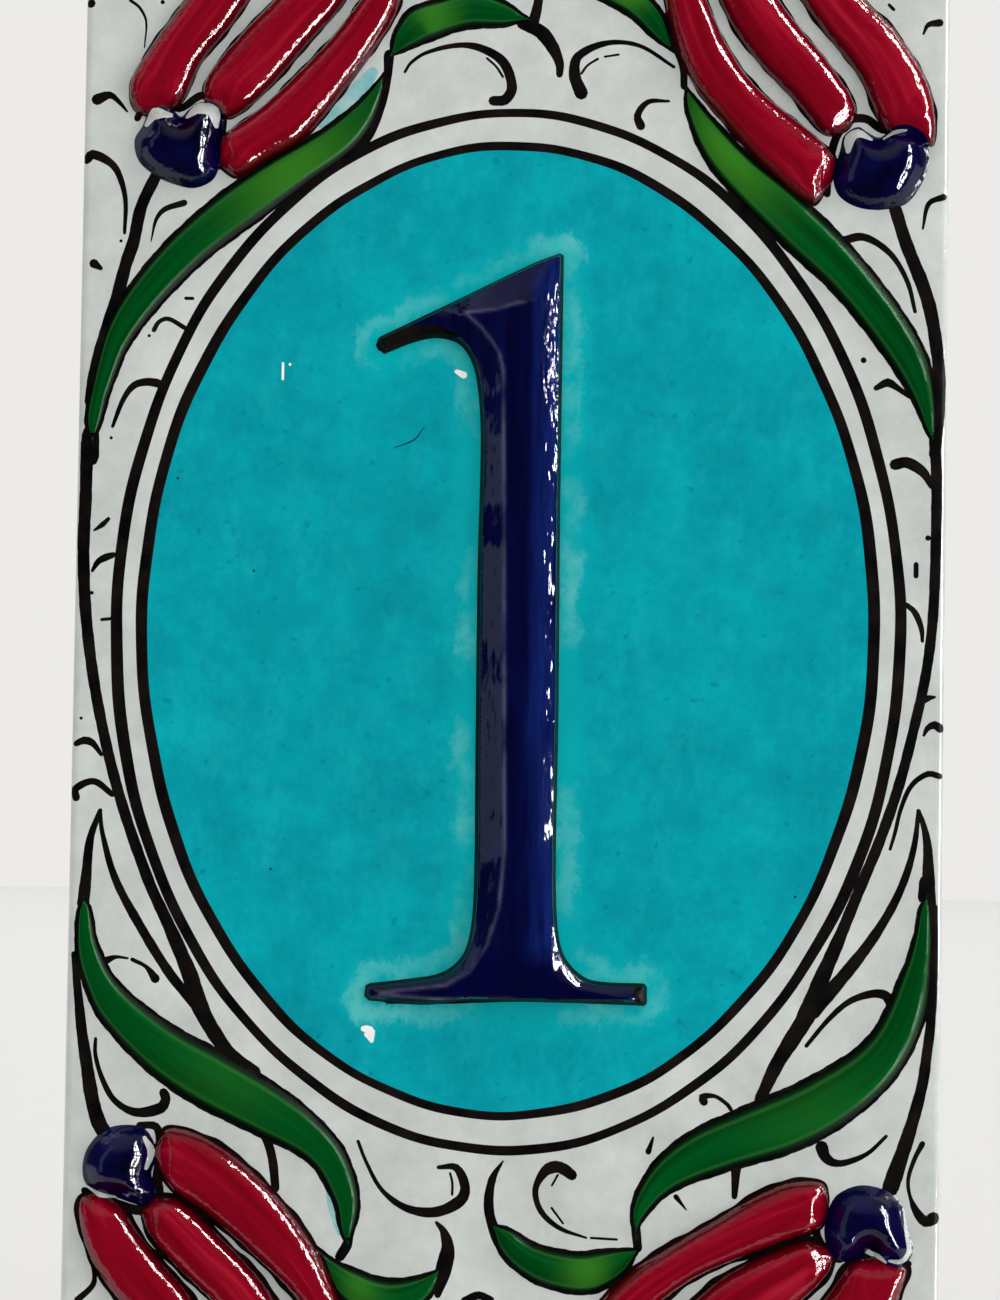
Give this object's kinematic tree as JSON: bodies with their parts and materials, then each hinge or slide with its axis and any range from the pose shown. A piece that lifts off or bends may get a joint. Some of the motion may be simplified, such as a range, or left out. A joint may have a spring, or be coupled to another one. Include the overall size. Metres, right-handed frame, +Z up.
{
  "type": "house number plaque",
  "caption": "Upright rectangular glazed ceramic tile with a raised serif numeral in an oval field, framed by raised corner tulips and leaves; fixed flat to a wall.",
  "frame": {"origin": "centre of the flat back, where the plaque meets the wall", "axes": "+Z up, +X to the right of someone facing the plaque, the decorated front faces -Y"},
  "size_m": [0.075, 0.0093, 0.15],
  "materials": {
    "glaze": "gloss glaze over painted relief"
  },
  "bodies": {
    "root": {"plaque": "glaze"}
  },
  "joints": []
}
